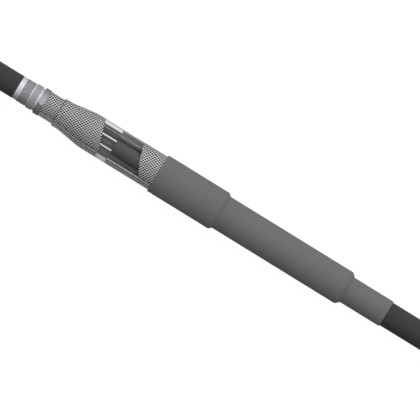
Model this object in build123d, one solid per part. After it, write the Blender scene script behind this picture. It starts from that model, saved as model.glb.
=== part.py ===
from build123d import *
import math
import os

# Straight joint between two four-core, tape-armoured power cables, with its outer sleeve
# cut back at the left end and a window cut in the tinned copper mesh.
# Millimetres. X runs along the cable, +Z faces the window, the origin is on the axis.

# Gaps between pieces that lie on each other
snug = 0.05
seat = 0.1

# Cable cores and the layers round them
conductor_r = 4.1
insulation_wall = 1.35
left_bedding_wall = 1.0
right_bedding_wall = 1.4
armour_wall = 0.8
left_oversheath_wall = 1.8
right_oversheath_wall = 2.2

# Where each layer of the cables is cut back
left_end = -356.3
left_oversheath_end = -306.0
left_armour_end = -241.7
left_bedding_end = -236.0

# Cores spread from the cable to the splices and close again
splice_lay = 13.9
left_spread_start = -226.5
left_spread_end = -200.0
core_bend_r = 80.0

# Bond sleeve and binding on the left armour
bond_sleeve_wall = 1.45
binding_start = -299.2
binding_length = 13.6
binding_wall = 0.5

# Roll springs: strips wound on themselves, with a rounded tongue at the outer end
strip_thickness = 0.3
armour_spring_start = -284.2
armour_spring_width = 8.8
armour_spring_turns = 5
mesh_spring_start = -272.0
mesh_spring_width = 8.6
mesh_spring_turns = 5
tongue_end_angle = 13.0
tongue_length_angle = 200.0

# Copper mesh
mesh_wall = 1.3
mesh_start = -271.6
mesh_step_x = -240.7
mesh_cone_start = -229.8
mesh_cone_end = -194.5
mesh_cone_bend_r = 45.0
mesh_right_cone_length = 13.0
mesh_right_tail = 9.4

# Strands of the mesh: two directions, drawn coarser than the real 3 mm weave
steep_strand_angle = 57.3
flat_strand_angle = -19.7
strand_pitch = 12.4
gap_side = 7.0
gap_margin = 5.4
lap_start_angle = 47.6
lap_end_angle = 95.0
lap_ridge_angles = (50.5, 64.5, 82.0)
lap_ridge_width_angle = 3.2
lap_ridge_height = 0.4

# Window in the mesh: each border passes through three points (x, y)
window_left_border = ((-183.6, 28.0), (-172.3, 0.5), (-167.0, -19.3))
window_right_border = ((-118.6, 28.0), (-112.6, 0.5), (-103.5, -19.3))
window_notch_start = -167.3
mesh_wire_y = 17.0
mesh_wire_width = 1.6

# White core spacer at the left: collar, hollow cone and slotted head
collar_r = 19.0
spacer_wall = 1.8
spacer_flange = 2.2
head_start = -190.5
head_end = -152.3
slot_half_width = 6.35
slot_play = 0.35
slot_rib = 1.7

# Core spacer at the right: slotted head and long tube
right_spacer_wall = 1.6
right_spacer_length = 129.5
right_head_length = 40.0
right_flange = 4.0
head_chamfer = 0.5

# Inner sleeves over the connectors
inner_sleeve_r = 10.5
inner_sleeve_wall = 1.2
inner_sleeve_length = 78.0
sleeve_taper_length = 6.0
sleeve_tail_length = 6.0
splice_gap = 7.0
mastic_length = 6.0

# Bolted connectors
connector_r = 6.55
connector_length = 40.6
connector_web = 2.4
strip_back = 2.0
bolt_places = (6.1, 14.3, 26.1, 34.4)
bolt_seat_height = 6.0
large_head_r = 3.6
large_head_height = 3.1
large_shank_r = 2.6
small_head_r = 2.1
small_head_height = 2.2
small_shank_r = 1.7
bolt_play = 0.05
bolt_chamfer = 0.4
socket_across = 4.0
socket_depth = 2.0

# Outer sleeve: three diameters with rounded shoulders
outer_sleeve_start = -82.6
shoulder_a_length = 4.0
shoulder_b_length = 5.4
outer_tail_length = 62.2
outer_wall_a = 2.5
outer_wall_b = 2.0
outer_wall_c = 1.5
shoulder_round = 2.0
hollow_round = 1.2
rim_round = 0.4

# Lengths between the pieces of the covered end, from the last inner sleeve outwards
shoulder_lead = 4.2
spacer_lead = 0.5
right_close_lead = 20.5
right_close_length = 26.5
right_bedding_lap = 13.0
right_armour_lead = 6.0
right_cone_lead = 1.0
right_spring_lead = 5.0
filler_lead = 3.0
right_oversheath_lead = 4.0
shoulder_b_lead = 24.9
right_cable_length = 73.8

# Radii that follow from the sizes above
core_r = conductor_r + snug + insulation_wall
cable_lay = math.sqrt(2) * (core_r + snug)
bundle_r = cable_lay + core_r
bedding_bore = bundle_r + snug
left_bedding_r = bedding_bore + left_bedding_wall
left_armour_r = left_bedding_r + snug + armour_wall
left_cable_r = left_armour_r + snug + left_oversheath_wall
right_bedding_r = bedding_bore + right_bedding_wall
right_armour_r = right_bedding_r + snug + armour_wall
right_cable_r = right_armour_r + snug + right_oversheath_wall
bond_sleeve_r = left_armour_r + snug + bond_sleeve_wall
mesh_neck_r = bond_sleeve_r + seat + mesh_wall
mesh_step_r = collar_r + seat + mesh_wall
head_r = splice_lay + inner_sleeve_r
mesh_body_r = head_r + seat + mesh_wall
right_spacer_bore = splice_lay + core_r + 2 * seat
right_spacer_r = right_spacer_bore + right_spacer_wall
mesh_tail_r = right_spacer_r + seat + mesh_wall
mesh_right_neck_r = right_armour_r + seat + mesh_wall
outer_r_a = mesh_body_r + seat + outer_wall_a
outer_r_b = mesh_tail_r + seat + outer_wall_b
outer_r_c = right_cable_r + snug + outer_wall_c

# Directions of the strands on the unrolled mesh
steep_strand = Vector(1, 0).rotate(Axis.Z, steep_strand_angle)
flat_strand = Vector(1, 0).rotate(Axis.Z, flat_strand_angle)

# Places along the joint that follow from the sizes above
collar_start = mesh_step_x + mesh_wall + seat
first_splice_start = head_end + seat
second_splice_start = first_splice_start + inner_sleeve_length + splice_gap
second_splice_end = second_splice_start + inner_sleeve_length
sleeve_wide_length = inner_sleeve_length - sleeve_taper_length - sleeve_tail_length
connector_offset = (sleeve_wide_length - connector_length) / 2
first_connector_start = first_splice_start + connector_offset
second_connector_start = second_splice_start + connector_offset
shoulder_a_start = second_splice_end + shoulder_lead
shoulder_a_end = shoulder_a_start + shoulder_a_length
right_spacer_start = shoulder_a_end + spacer_lead
right_spacer_end = right_spacer_start + right_spacer_length
right_close_start = right_spacer_start + right_head_length + right_close_lead
right_close_end = right_close_start + right_close_length
right_bedding_start = right_spacer_end - right_bedding_lap
right_armour_start = right_spacer_end + right_armour_lead
mesh_right_cone_start = right_spacer_end + right_cone_lead
mesh_right_cone_end = mesh_right_cone_start + mesh_right_cone_length
right_spring_start = mesh_right_cone_end + right_spring_lead
mesh_end = right_spring_start + mesh_spring_width + mesh_right_tail
right_oversheath_start = mesh_end + right_oversheath_lead
shoulder_b_start = right_oversheath_start + shoulder_b_lead
shoulder_b_end = shoulder_b_start + shoulder_b_length
outer_sleeve_end = shoulder_b_end + outer_tail_length
right_end = outer_sleeve_end + right_cable_length

# Each core's place round the axis (y, z), its turn about X and its connector's start
quarter_turn = 90
core_places = {
    "front": ((0, 1), 0, first_connector_start),
    "rear": ((0, -1), 2 * quarter_turn, first_connector_start),
    "upper": ((1, 0), -quarter_turn, second_connector_start),
    "lower": ((-1, 0), quarter_turn, second_connector_start),
}


def radial(angle):
    """Unit direction away from the axis, at an angle from +Z that turns towards -Y."""
    turn = math.radians(angle)
    return Vector(0, -math.sin(turn), math.cos(turn))


def turned(points, radii=None):
    """Solid turned about the X axis from a closed outline of (x, radius) points."""
    if radii is None:
        outline = Polyline(*points, close=True)
    else:
        outline = FilletPolyline(*points, radius=radii, close=True)
    return revolve(make_face(outline), Axis.X)


def tube(start, end, bore, radius):
    """Plain tube on the X axis."""
    return turned([(start, bore), (end, bore), (end, radius), (start, radius)])


def rod(start, end, radius, y=0, z=0):
    """Plain rod along X through (y, z)."""
    section = Plane.YZ.offset(start) * Pos(y, z) * Circle(radius)
    return extrude(section, end - start)


def along_x(section, start, end):
    """A section drawn in (y, z), extruded from start to end along X."""
    return extrude(Plane.YZ.offset(start) * section, end - start)


def placed(solid, core, x, lay):
    """A solid built round the X axis with its outside up, moved to a core's place."""
    (y, z), turn, _ = core_places[core]
    return Pos(x, y * lay, z * lay) * Rot(turn, 0, 0) * solid


def core_line(core, stations):
    """Centre line of a core through (x, distance from the axis) stations."""
    (y, z), _, _ = core_places[core]
    points = [(x, y * lay, z * lay) for x, lay in stations]
    return FilletPolyline(*points, radius=core_bend_r)


def swept(section, line):
    """A section swept along a core's centre line."""
    return sweep(Plane(origin=line @ 0, z_dir=line % 0) * section, path=line)


def left_core(core, end):
    """Centre line of a core of the left cable, up to end."""
    return core_line(
        core,
        [
            (left_end, cable_lay),
            (left_spread_start, cable_lay),
            (left_spread_end, splice_lay),
            (end, splice_lay),
        ],
    )


def right_core(core, start):
    """Centre line of a core of the right cable, from start."""
    return core_line(
        core,
        [
            (start, splice_lay),
            (right_close_start, splice_lay),
            (right_close_end, cable_lay),
            (right_end, cable_lay),
        ],
    )


def cores():
    """Insulation and conductor of all eight cores."""
    insulation = Circle(core_r) - Circle(conductor_r + snug)
    made = {}
    for core, (_, _, connector_start) in core_places.items():
        connector_end = connector_start + connector_length
        middle = connector_start + connector_length / 2
        left_line = left_core(core, connector_start - strip_back)
        right_line = right_core(core, connector_end + strip_back)
        made[f"left_insulation_{core}"] = swept(insulation, left_line)
        made[f"right_insulation_{core}"] = swept(insulation, right_line)
        left_bare = left_core(core, middle - connector_web / 2)
        right_bare = right_core(core, middle + connector_web / 2)
        made[f"left_conductor_{core}"] = swept(Circle(conductor_r), left_bare)
        made[f"right_conductor_{core}"] = swept(Circle(conductor_r), right_bare)
    return made


def fillers(start, end):
    """Round filler strings: one in the middle and one in each valley between two cores."""
    middle_r = cable_lay - core_r - snug
    wall = bedding_bore
    across = math.sqrt(2) * cable_lay
    touching_r = (wall**2 + cable_lay**2 - wall * across - core_r**2) / (
        2 * (wall + core_r) - across
    )
    string_r = touching_r - snug
    lay = (wall - touching_r) / math.sqrt(2)
    strings = [rod(start, end, middle_r)]
    for y in (-lay, lay):
        for z in (-lay, lay):
            strings.append(rod(start, end, string_r, y, z))
    return Compound(children=strings)


def cable_layers():
    """Fillers, bedding, tape armour and oversheath of both cables."""
    return {
        "left_fillers": fillers(left_end, left_bedding_end),
        "left_bedding": tube(left_end, left_bedding_end, bedding_bore, left_bedding_r),
        "left_armour_tape": tube(
            left_end, left_armour_end, left_bedding_r + snug, left_armour_r
        ),
        "left_oversheath": tube(
            left_end, left_oversheath_end, left_armour_r + snug, left_cable_r
        ),
        "right_fillers": fillers(right_bedding_start, right_end),
        "right_bedding": tube(
            right_bedding_start, right_end, bedding_bore, right_bedding_r
        ),
        "right_armour_tape": tube(
            right_armour_start, right_end, right_bedding_r + snug, right_armour_r
        ),
        "right_oversheath": tube(
            right_oversheath_start, right_end, right_armour_r + snug, right_cable_r
        ),
    }


def roll_spring(start, width, bore, turns):
    """Strip wound on itself: inner turns, then an outer turn with a rounded tongue."""
    body_r = bore + (turns - 1) * strip_thickness
    outer_r = body_r + strip_thickness
    layer = tube(start, start + width, body_r, outer_r)
    tip_angle = math.degrees(width / 2 / outer_r)
    straight_end = tongue_end_angle - tip_angle
    reach = 2 * outer_r
    corners = [(0, 0)]
    sides = math.ceil(tongue_length_angle / quarter_turn) + 1
    for side in range(sides + 1):
        edge = radial(straight_end - tongue_length_angle * side / sides) * reach
        corners.append((edge.Y, edge.Z))
    sector = make_face(Polyline(*corners, close=True))
    covered = layer & along_x(sector, start, start + width)
    tip_plane = Plane((start + width / 2, 0, 0), (1, 0, 0), radial(straight_end))
    tip = layer & extrude(tip_plane * Circle(width / 2), reach)
    return tube(start, start + width, bore, body_r) + covered + tip


def slot(centre_y, centre_z, open_to):
    """U-shaped slot section with a round floor, open towards +Z (1) or -Z (-1)."""
    reach = 2 * head_r
    opening = Pos(centre_y, centre_z + open_to * reach / 2) * Rectangle(
        2 * slot_half_width, reach
    )
    return opening + Pos(centre_y, centre_z) * Circle(slot_half_width)


def left_core_spacer():
    """White moulded spacer: it seats on the bedding and spreads the four cores."""
    floor = slot_half_width - core_r - slot_play
    side_y = 2 * slot_half_width + slot_rib
    shell = turned(
        [
            (collar_start, left_bedding_r + seat),
            (collar_start + spacer_flange, left_bedding_r + seat),
            (collar_start + spacer_flange, collar_r - spacer_wall),
            (mesh_cone_start, collar_r - spacer_wall),
            (head_start, head_r - spacer_wall),
            (head_start, 0),
            (head_end, 0),
            (head_end, head_r),
            (mesh_cone_end, head_r),
            (mesh_cone_start, collar_r),
            (collar_start, collar_r),
        ],
        [0, 0, 0, 0, 0, 0, 0, 0, mesh_cone_bend_r, 0, 0],
    )
    slots = slot(0, splice_lay + floor, 1) + slot(0, -splice_lay - floor, -1)
    slots += slot(side_y, floor, 1) + slot(-side_y, floor, 1)
    shell -= along_x(slots, head_start, head_end)
    return chamfer(shell.faces().sort_by(Axis.X)[-1].edges(), head_chamfer)


def right_core_spacer():
    """White moulded spacer of the hidden end: slotted head, long tube and flange."""
    floor = slot_half_width - core_r - slot_play
    head_stop = right_spacer_start + right_head_length
    head = rod(right_spacer_start, head_stop, right_spacer_r)
    one_slot = slot(0, splice_lay + floor, 1)
    slots = Sketch()
    for _, turn, _ in core_places.values():
        slots += Rot(0, 0, turn) * one_slot
    head -= along_x(slots, right_spacer_start, head_stop)
    body = turned(
        [
            (head_stop, right_spacer_bore),
            (right_spacer_end - right_flange, right_spacer_bore),
            (right_spacer_end - right_flange, right_bedding_r + seat),
            (right_spacer_end, right_bedding_r + seat),
            (right_spacer_end, right_spacer_r),
            (head_stop, right_spacer_r),
        ]
    )
    return head + body


def window_cutter():
    """Prism that cuts the window and its notch out of the near half of the mesh."""
    top_left, _, bottom_left = window_left_border
    top_right, _, bottom_right = window_right_border
    border = [
        ThreePointArc(*window_left_border),
        Line(bottom_left, bottom_right),
        ThreePointArc(*window_right_border),
        Line(top_left, top_right),
    ]
    reach = 2 * mesh_body_r
    window = make_face(Curve() + border)
    notch_width = head_end - window_notch_start
    notch_middle = window_notch_start + notch_width / 2
    window += Pos(notch_middle, bottom_left[1]) * Rectangle(notch_width, reach)
    wire_length = bottom_right[0] - top_left[0]
    wire_middle = top_left[0] + wire_length / 2
    window -= Pos(wire_middle, mesh_wire_y) * Rectangle(wire_length, mesh_wire_width)
    return extrude(window, reach)


def mesh_outline_r(x):
    """Outer radius of the bare part of the mesh at x."""
    if x < mesh_step_x:
        return mesh_neck_r
    if x < mesh_cone_start:
        return mesh_step_r
    share = min(1, (x - mesh_cone_start) / (mesh_cone_end - mesh_cone_start))
    return mesh_step_r + share * (mesh_body_r - mesh_step_r)


def clear_of_window(x, y):
    """True where a gap on the near side stays off the window and its notch."""
    if y < window_left_border[-1][1] - gap_margin:
        return not window_notch_start - gap_margin < x < head_end + gap_margin
    x_at_y = []
    for top, _, bottom in (window_left_border, window_right_border):
        share = (y - bottom[1]) / (top[1] - bottom[1])
        x_at_y.append(bottom[0] + share * (top[0] - bottom[0]))
    return not x_at_y[0] - gap_margin < x < x_at_y[1] + gap_margin


def gap_places():
    """Plane of each gap in the bare mesh, on a slanted grid over the unrolled surface."""
    first_x = mesh_spring_start + mesh_spring_width + gap_margin
    last_x = outer_sleeve_start - gap_margin
    middle_x = (first_x + last_x) / 2
    reach = math.ceil((last_x - first_x) / strand_pitch) * 2
    places = []
    for i in range(-reach, reach + 1):
        for j in range(-reach, reach + 1):
            flat_place = (steep_strand * i + flat_strand * j) * strand_pitch
            x = middle_x + flat_place.X
            if not first_x < x < last_x or abs(x - mesh_step_x) < gap_margin:
                continue
            r = mesh_outline_r(x)
            angle = math.degrees(-flat_place.Y / r)
            margin = math.degrees(gap_margin / r)
            lap_end = lap_end_angle - 4 * quarter_turn
            if not lap_end + margin < angle < lap_start_angle - margin:
                continue
            place = radial(angle) * r + Vector(x, 0, 0)
            if place.Z < 0 or clear_of_window(x, place.Y):
                places.append(Plane(place, (1, 0, 0), radial(angle)))
    return places


def mesh_gaps():
    """Rhombic prisms that open the mesh between its strands."""
    along = (steep_strand + flat_strand) * gap_side / 2
    across = (steep_strand - flat_strand) * gap_side / 2
    rhombus = make_face(Polyline(along, across, -along, -across, close=True))
    reach = 3 * mesh_wall
    gaps = [extrude(place * rhombus, reach, both=True) for place in gap_places()]
    print("gaps in the mesh", len(gaps))
    return gaps


def lap_ridges(outside):
    """Straight selvedge wires that stand proud along the lap of the mesh."""
    ends = (mesh_spring_start + mesh_spring_width + 2 * seat, outer_sleeve_start - seat)
    top = [(ends[0], mesh_neck_r)] + outside[1:5] + [(ends[1], mesh_body_r)]
    base = [(x, r - mesh_wall / 2) for x, r in top]
    top = [(x, r + lap_ridge_height) for x, r in top]
    base[1] = (mesh_step_x + mesh_wall, base[1][1])
    base[2] = (mesh_step_x + mesh_wall, base[2][1])
    bends = [0, 0, 0, 0, mesh_cone_bend_r, 0]
    outline = FilletPolyline(*top, *base[::-1], radius=bends + bends[::-1], close=True)
    section = make_face(outline)
    ridge = revolve(section, Axis.X, revolution_arc=lap_ridge_width_angle)
    start = quarter_turn - lap_ridge_width_angle / 2
    return [Rot(start + angle, 0, 0) * ridge for angle in lap_ridge_angles]


def copper_mesh():
    """Tinned copper mesh wrapped from the left armour to the right armour."""
    outside = [
        (mesh_start, mesh_neck_r),
        (mesh_step_x, mesh_neck_r),
        (mesh_step_x, mesh_step_r),
        (mesh_cone_start, mesh_step_r),
        (mesh_cone_end, mesh_body_r),
        (shoulder_a_start, mesh_body_r),
        (shoulder_a_end, mesh_tail_r),
        (mesh_right_cone_start, mesh_tail_r),
        (mesh_right_cone_end, mesh_right_neck_r),
        (mesh_end, mesh_right_neck_r),
    ]
    inside = [(x, r - mesh_wall) for x, r in outside]
    inside[1] = (mesh_step_x + mesh_wall, mesh_neck_r - mesh_wall)
    inside[2] = (mesh_step_x + mesh_wall, mesh_step_r - mesh_wall)
    bends = [0, 0, 0, 0, mesh_cone_bend_r, 0, 0, 0, 0, 0]
    wall = turned(outside + inside[::-1], bends + bends[::-1])
    wall += lap_ridges(outside)
    return wall - window_cutter() - mesh_gaps()


def void_filler():
    """Sealing mastic that fills the space round the right spring up to the oversheath."""
    spring_end = right_spring_start + mesh_spring_width
    spring_r = mesh_right_neck_r + snug + mesh_spring_turns * strip_thickness
    outside_r = mesh_tail_r + seat - snug
    start = mesh_right_cone_start + filler_lead
    cone = (mesh_tail_r - mesh_right_neck_r) / (
        mesh_right_cone_end - mesh_right_cone_start
    )
    start_bore = mesh_tail_r - cone * (start - mesh_right_cone_start) + seat
    neck_bore = mesh_right_neck_r + seat
    return turned(
        [
            (start, start_bore),
            (mesh_right_cone_end, neck_bore),
            (right_spring_start - seat, neck_bore),
            (right_spring_start - seat, spring_r + seat),
            (spring_end + seat, spring_r + seat),
            (spring_end + seat, neck_bore),
            (mesh_end + seat, neck_bore),
            (mesh_end + seat, right_armour_r + seat),
            (right_oversheath_start - seat, right_armour_r + seat),
            (right_oversheath_start - seat, right_cable_r + snug),
            (shoulder_b_end - seat, right_cable_r + snug),
            (shoulder_b_start - seat, outside_r),
            (start, outside_r),
        ]
    )


def inner_sleeve():
    """Heat-shrunk sleeve over one connector, drawn down to the core at its right end."""
    bore = inner_sleeve_r - inner_sleeve_wall
    tail_bore = core_r + snug
    taper_end = sleeve_wide_length + sleeve_taper_length
    return turned(
        [
            (0, bore),
            (sleeve_wide_length, bore),
            (taper_end, tail_bore),
            (inner_sleeve_length, tail_bore),
            (inner_sleeve_length, tail_bore + inner_sleeve_wall),
            (taper_end, tail_bore + inner_sleeve_wall),
            (sleeve_wide_length, inner_sleeve_r),
            (0, inner_sleeve_r),
        ]
    )


def bolt_sizes():
    """Place, head radius, head height and shank radius of each bolt in a connector."""
    large = (large_head_r, large_head_height, large_shank_r)
    small = (small_head_r, small_head_height, small_shank_r)
    return list(zip(bolt_places, (large, small, large, small)))


def connector():
    """Barrel with a bore at each end, a web in the middle and a seat for each bolt."""
    barrel = rod(0, connector_length, connector_r)
    bore_depth = (connector_length - connector_web) / 2
    barrel -= rod(0, bore_depth, conductor_r + snug)
    barrel -= rod(connector_length - bore_depth, connector_length, conductor_r + snug)
    for x, (head_radius, _, shank) in bolt_sizes():
        barrel -= Pos(x, 0, 0) * extrude(Circle(shank + bolt_play), 2 * connector_r)
        recess = Pos(x, 0, bolt_seat_height) * extrude(
            Circle(head_radius + 2 * bolt_play), connector_r
        )
        barrel -= recess
    return barrel


def shear_bolts():
    """The four bolts of one connector, alternately with a large and a small head."""
    bolts = []
    for x, (head_radius, head_height, shank) in bolt_sizes():
        tip = conductor_r + snug
        bolt = Pos(0, 0, tip) * extrude(Circle(shank), bolt_seat_height - tip)
        head = Pos(0, 0, bolt_seat_height) * extrude(Circle(head_radius), head_height)
        bolt += chamfer(head.edges().group_by(Axis.Z)[-1], bolt_chamfer)
        if head_radius == large_head_r:
            across = RegularPolygon(socket_across / 2, 6, major_radius=False)
            top = bolt_seat_height + head_height
            bolt -= Pos(0, 0, top - socket_depth) * extrude(across, 2 * socket_depth)
        bolts.append(Pos(x, 0, 0) * bolt)
    return Compound(children=bolts)


def splices():
    """Connector, bolts, inner sleeve and mastic of each of the four splices."""
    made = {}
    mastic_bore = core_r + snug
    mastic_r = inner_sleeve_r - inner_sleeve_wall - snug
    for core, (_, _, connector_start) in core_places.items():
        sleeve_start = connector_start - connector_offset
        mastic = tube(0, mastic_length, mastic_bore, mastic_r)
        made[f"connector_{core}"] = placed(
            connector(), core, connector_start, splice_lay
        )
        made[f"shear_bolts_{core}"] = placed(
            shear_bolts(), core, connector_start, splice_lay
        )
        made[f"inner_sleeve_{core}"] = placed(
            inner_sleeve(), core, sleeve_start, splice_lay
        )
        made[f"sleeve_mastic_{core}"] = placed(mastic, core, sleeve_start, splice_lay)
    return made


def outer_sleeve():
    """Thick outer sleeve in three diameters, shrunk over mesh, mastic and cable."""
    shoulder = [shoulder_round, shoulder_round]
    outside_rounds = [rim_round, *shoulder, hollow_round, shoulder_round, rim_round]
    return turned(
        [
            (outer_sleeve_start, outer_r_a - outer_wall_a),
            (shoulder_a_start + seat, outer_r_a - outer_wall_a),
            (shoulder_a_end + seat, outer_r_b - outer_wall_b),
            (shoulder_b_start, outer_r_b - outer_wall_b),
            (shoulder_b_end, outer_r_c - outer_wall_c),
            (outer_sleeve_end, outer_r_c - outer_wall_c),
            (outer_sleeve_end, outer_r_c),
            (shoulder_b_end, outer_r_c),
            (shoulder_b_start, outer_r_b),
            (shoulder_a_end, outer_r_b),
            (shoulder_a_start, outer_r_a),
            (outer_sleeve_start, outer_r_a),
        ],
        [0, 0, 0, 0, 0, 0, *outside_rounds],
    )


def wraps_on_left_armour():
    """Bond sleeve, wire binding and the two roll springs."""
    bond_bore = left_armour_r + snug
    spring_bore = bond_sleeve_r + snug
    return {
        "bond_sleeve": tube(
            left_oversheath_end + snug, left_armour_end, bond_bore, bond_sleeve_r
        ),
        "armour_binding": tube(
            binding_start,
            binding_start + binding_length,
            spring_bore,
            spring_bore + binding_wall,
        ),
        "armour_spring": roll_spring(
            armour_spring_start, armour_spring_width, spring_bore, armour_spring_turns
        ),
        "mesh_spring": roll_spring(
            mesh_spring_start,
            mesh_spring_width,
            mesh_neck_r + snug,
            mesh_spring_turns,
        ),
    }


def assembly():
    """Every piece of the joint by name."""
    pieces = {}
    pieces.update(cable_layers())
    pieces.update(cores())
    pieces.update(wraps_on_left_armour())
    pieces.update(splices())
    pieces["left_core_spacer"] = left_core_spacer()
    pieces["right_core_spacer"] = right_core_spacer()
    pieces["copper_mesh"] = copper_mesh()
    pieces["right_mesh_spring"] = roll_spring(
        right_spring_start,
        mesh_spring_width,
        mesh_right_neck_r + snug,
        mesh_spring_turns,
    )
    pieces["void_filler"] = void_filler()
    pieces["outer_sleeve"] = outer_sleeve()
    return pieces


os.makedirs("parts", exist_ok=True)
for name, piece in assembly().items():
    export_step(piece, f"parts/{name}.step")
print("cable radii", round(left_cable_r, 2), round(right_cable_r, 2))
print("mesh radii", round(mesh_neck_r, 2), round(mesh_step_r, 2), round(mesh_body_r, 2))
print("sleeve radii", round(outer_r_a, 2), round(outer_r_b, 2), round(outer_r_c, 2))
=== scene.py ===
"""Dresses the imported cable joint: surface finishes, woven mesh, wound wire, strands and stage."""

import math

import bpy
import numpy as np
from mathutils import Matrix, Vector


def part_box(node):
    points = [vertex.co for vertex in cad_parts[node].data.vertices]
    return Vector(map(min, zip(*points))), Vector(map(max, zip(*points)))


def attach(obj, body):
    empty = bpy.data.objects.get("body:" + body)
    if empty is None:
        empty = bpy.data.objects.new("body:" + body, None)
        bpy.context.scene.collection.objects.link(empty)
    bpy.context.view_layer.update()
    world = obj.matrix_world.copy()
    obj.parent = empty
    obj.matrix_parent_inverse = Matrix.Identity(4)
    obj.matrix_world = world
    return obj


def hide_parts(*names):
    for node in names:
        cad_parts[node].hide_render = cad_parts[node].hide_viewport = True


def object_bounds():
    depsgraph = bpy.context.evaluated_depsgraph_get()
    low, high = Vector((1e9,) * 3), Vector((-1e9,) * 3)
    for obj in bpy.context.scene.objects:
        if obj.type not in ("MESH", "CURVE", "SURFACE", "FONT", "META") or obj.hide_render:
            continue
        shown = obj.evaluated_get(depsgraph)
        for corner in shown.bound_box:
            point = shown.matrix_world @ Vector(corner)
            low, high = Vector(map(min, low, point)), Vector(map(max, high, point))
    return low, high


bl_info = {
    "name": "Cable Joint Dressing",
    "version": (1, 0, 0),
    "blender": (4, 5, 0),
    "location": "3D View > Sidebar > Cable Joint",
    "description": "Finishes and fine pieces of a cut-away joint between two four-core cables",
    "category": "Object",
}

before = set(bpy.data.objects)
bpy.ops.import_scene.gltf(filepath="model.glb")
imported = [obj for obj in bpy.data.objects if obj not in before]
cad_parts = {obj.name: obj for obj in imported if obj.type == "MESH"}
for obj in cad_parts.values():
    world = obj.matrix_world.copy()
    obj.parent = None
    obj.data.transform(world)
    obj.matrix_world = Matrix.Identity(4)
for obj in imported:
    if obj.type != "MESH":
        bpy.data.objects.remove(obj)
cad_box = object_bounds()

MM = 0.001
BODY = "root"
CORES = ("front", "rear", "upper", "lower")


def reach_x(node):
    """First and last x of a CAD node."""
    low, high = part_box(node)
    return low.x, high.x


def half_height(node):
    """Outer radius of a CAD node that was turned about the X axis."""
    low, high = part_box(node)
    return (high.y - low.y) / 2


# The mesh as the CAD part has it: radii and stations, worked out from the pieces it lies on
SEAT = 0.1 * MM
MESH_WALL = 1.3 * MM
NECK_R = half_height("bond_sleeve") + SEAT + MESH_WALL
BODY_R = half_height("left_core_spacer") + SEAT + MESH_WALL
STEP_X = reach_x("left_core_spacer")[0] - SEAT - MESH_WALL
STEP_RUN = 0.01 * MM
STEP_R = 20.4 * MM
CONE_START = STEP_X + 10.9 * MM
CONE_END = STEP_X + 46.2 * MM
CONE_EASE = 7.0 * MM
MESH_START, MESH_END = reach_x("copper_mesh")

# Stations of the covered end of the mesh and its outer radius at each
TAIL_R = half_height("right_core_spacer") + SEAT + MESH_WALL
RIGHT_NECK_R = half_height("right_armour_tape") + SEAT + MESH_WALL
TAIL_X = (15.0 * MM, 19.0 * MM, 150.0 * MM, 163.0 * MM, MESH_END)
TAIL_RADII = (BODY_R, TAIL_R, TAIL_R, RIGHT_NECK_R, RIGHT_NECK_R)

# Where the fine strands end, a little way under the outer sleeve
WEAVE_END = reach_x("outer_sleeve")[0] + 7 * MM

# Window in the mesh: both borders pass through three (x, y) points in millimetres, within 2 mm
# of those in the CAD part; here they follow the ends of the fine strands
WINDOW_LEFT = ((-182.6, 28.0), (-172.8, 0.5), (-166.5, -19.3))
WINDOW_RIGHT = ((-120.0, 28.0), (-112.1, 0.5), (-102.3, -19.3))
WINDOW_LOW_Y = WINDOW_LEFT[2][1] * MM
WINDOW_WIRE_Y = 17.0 * MM
NOTCH_START = -167.3 * MM
NOTCH_END = reach_x("left_core_spacer")[1]

# Angles round the joint are in degrees from the line that faces the camera. Those of the
# window's lower edge, the lap, the rows and the hoops grow towards the lower side
WINDOW_FOOT = 48.4
LAP_START = 48.2
LAP_END = 95.0

# Bare stretch of the turn below, beside the edge of the lap, where the turn's painted shade
# shows as the shadow along the lap's edge
LAP_SHADOW_GROOVE = 6.2

# Angle up to which the weave looks evenly spaced from the front; past it, over the flanks, it
# stays as wide open as there, and at the back it closes up again
FLANK = 50
FLANK_END = 90
BACK = 130

# How far the middle of the weave stands above the outer face of the CAD mesh
WEAVE_RISE = 0.2 * MM

# Straight strands of the mesh, which run along the joint in rows, and the hoops that cross
# them; the first row lies a little way in from the edge of the lap
FIRST_ROW = 2.1
ROW_GAP = 12.0
ROW_RISE = 0.25 * MM
ROW_HALF_WIDTH = 0.95 * MM
ROW_HALF_THICKNESS = 0.3 * MM
HOOP_PITCH = 2.9 * MM
HOOP_STEP = 2.5
HOOP_HALF_WIDTH = 0.55 * MM
HOOP_HALF_THICKNESS = 0.15 * MM

# Rows and hoops on the inner face, which show on the upper side
INNER_ROWS = -np.arange(95.5, 130, 13.9)
INNER_HOOPS = (-97, -126)

# Depth of the turn under the strands, and the angle between its stations
UNDER_DEPTH = 0.1 * MM
UNDER_STEP = 6

# Sides of the tube that makes a strand or a fine wire, and of one that makes a thick wire
STRAND_SIDES = 6
WIRE_SIDES = 12

# Stations of a strand from one crossing to the next
CROSSING_STATIONS = 4

# Angle between two faces past which their edge is drawn sharp
SHARP_ANGLE = math.radians(50)

# Wires at a conductor's cut end: rings with their number and count of wires, and the radius of
# the conductor over that of a wire, which is five wires across and a little play
WIRE_RINGS = ((1, 6), (2, 12))
WIRES_ACROSS = 5.05


def length(name, text, size, lowest, highest):
    """Length property whose default and limits are given in millimetres."""
    return bpy.props.FloatProperty(
        name=name,
        description=text,
        default=size * MM,
        min=lowest * MM,
        max=highest * MM,
        precision=4,
        unit="LENGTH",
    )


def direction(name, text, degrees):
    """Angle property whose default is given in degrees."""
    return bpy.props.FloatProperty(
        name=name, description=text, default=math.radians(degrees), subtype="ANGLE"
    )


def amount(name, text, value, highest):
    """Plain number from 0 up to a highest value."""
    return bpy.props.FloatProperty(
        name=name, description=text, default=value, min=0, max=highest, subtype="FACTOR"
    )


def linear(value):
    """Linear red, green and blue of an sRGB hex colour such as #6e6f71."""
    parts = [int(value[i : i + 2], 16) / 255 for i in (1, 3, 5)]
    return tuple(p / 12.92 if p <= 0.04045 else ((p + 0.055) / 1.055) ** 2.4 for p in parts)


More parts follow.
